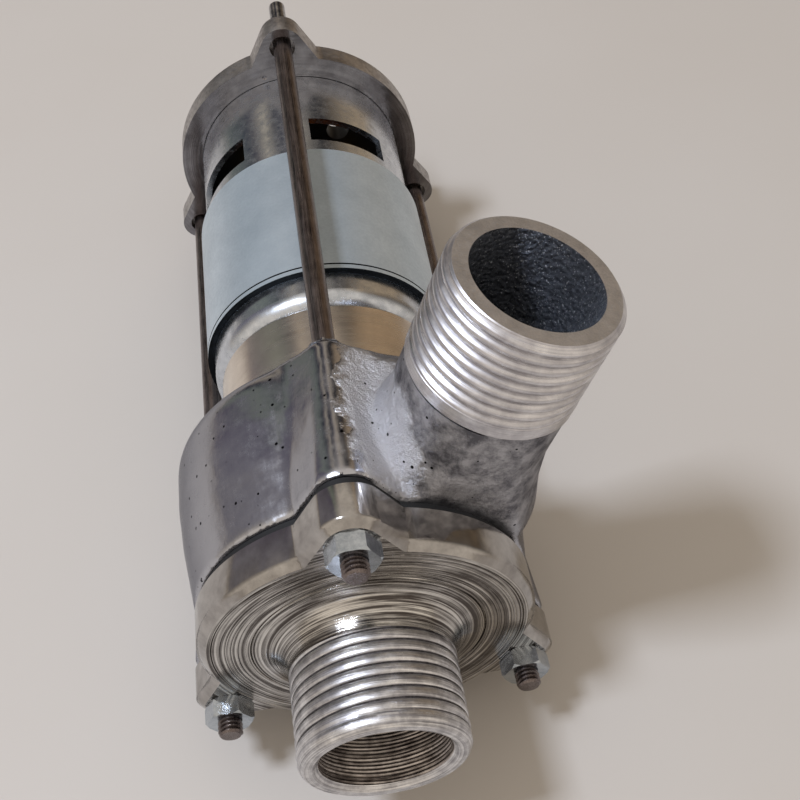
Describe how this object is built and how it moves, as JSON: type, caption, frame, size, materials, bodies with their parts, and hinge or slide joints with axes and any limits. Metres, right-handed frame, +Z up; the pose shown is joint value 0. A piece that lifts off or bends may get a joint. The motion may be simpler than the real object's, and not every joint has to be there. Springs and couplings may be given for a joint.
{
  "type": "dc water pump",
  "caption": "Small centrifugal water pump: cast volute with threaded inlet and tangential outlet, driven by a can motor held by long tie rods and a rear clamp ring.",
  "frame": {"origin": "centre of the inlet mouth", "axes": "+Y runs along the pump's axis from the inlet to the back of the motor, +Z is up through the first tie rod, and +X is the side that the outlet leans to"},
  "size_m": [0.0714, 0.1535, 0.0862],
  "materials": {
    "cast_aluminium": "cast aluminium, faces machined and partly polished",
    "turned_aluminium": "turned aluminium, bright",
    "clamp_aluminium": "cast aluminium, satin, rim as turned",
    "gasket_sheet": "black sheet gasket",
    "seal_rubber": "black nitrile rubber",
    "zinc_plated": "bright zinc plating",
    "dark_steel": "dark oiled steel bar with drawn lines",
    "can_steel": "plated deep-drawn steel",
    "ring_steel": "plated satin steel strip",
    "magnet_ferrite": "grey-black ferrite",
    "spring_steel": "spring steel",
    "bearing_steel": "ground bearing steel",
    "shaft_steel": "ground steel",
    "cap_plastic": "black moulded plastic",
    "contact_brass": "punched brass",
    "brush_carbon": "pressed carbon",
    "impeller_alloy": "cast aluminium, as cast",
    "core_steel": "stacked electrical steel",
    "winding_copper": "enamelled copper wire",
    "commutator_copper": "bare copper bars"
  },
  "bodies": {
    "housing": {"inlet_cover": "cast_aluminium", "cover_gasket": "gasket_sheet", "volute_casing": "cast_aluminium", "shaft_seal": "seal_rubber", "motor_adapter": "turned_aluminium", "motor_screws": "zinc_plated", "motor_can": "can_steel", "flux_ring": "ring_steel", "magnets": "magnet_ferrite", "magnet_springs": "spring_steel", "front_bearing_outer_race": "bearing_steel", "rear_bearing_outer_race": "bearing_steel", "motor_end_cap": "cap_plastic", "brush_holders": "contact_brass", "carbon_brushes": "brush_carbon", "brush_springs": "spring_steel", "terminals": "contact_brass", "rear_clamp_ring": "clamp_aluminium", "tie_rods": "dark_steel", "front_nuts": "zinc_plated"},
    "rotor": {"front_bearing_inner_race": "bearing_steel", "front_bearing_balls": "bearing_steel", "rear_bearing_inner_race": "bearing_steel", "rear_bearing_balls": "bearing_steel", "motor_shaft": "shaft_steel", "shaft_coupler": "shaft_steel", "grub_screws": "dark_steel", "impeller": "impeller_alloy", "impeller_nut": "zinc_plated", "armature_core": "core_steel", "armature_windings": "winding_copper", "commutator": "commutator_copper"}
  },
  "joints": [
    {"name": "shaft_spin", "type": "hinge", "parent": "housing", "child": "rotor", "pos_m": [0, 0.1, 0], "axis": [0, -1, 0], "continuous": true}
  ]
}
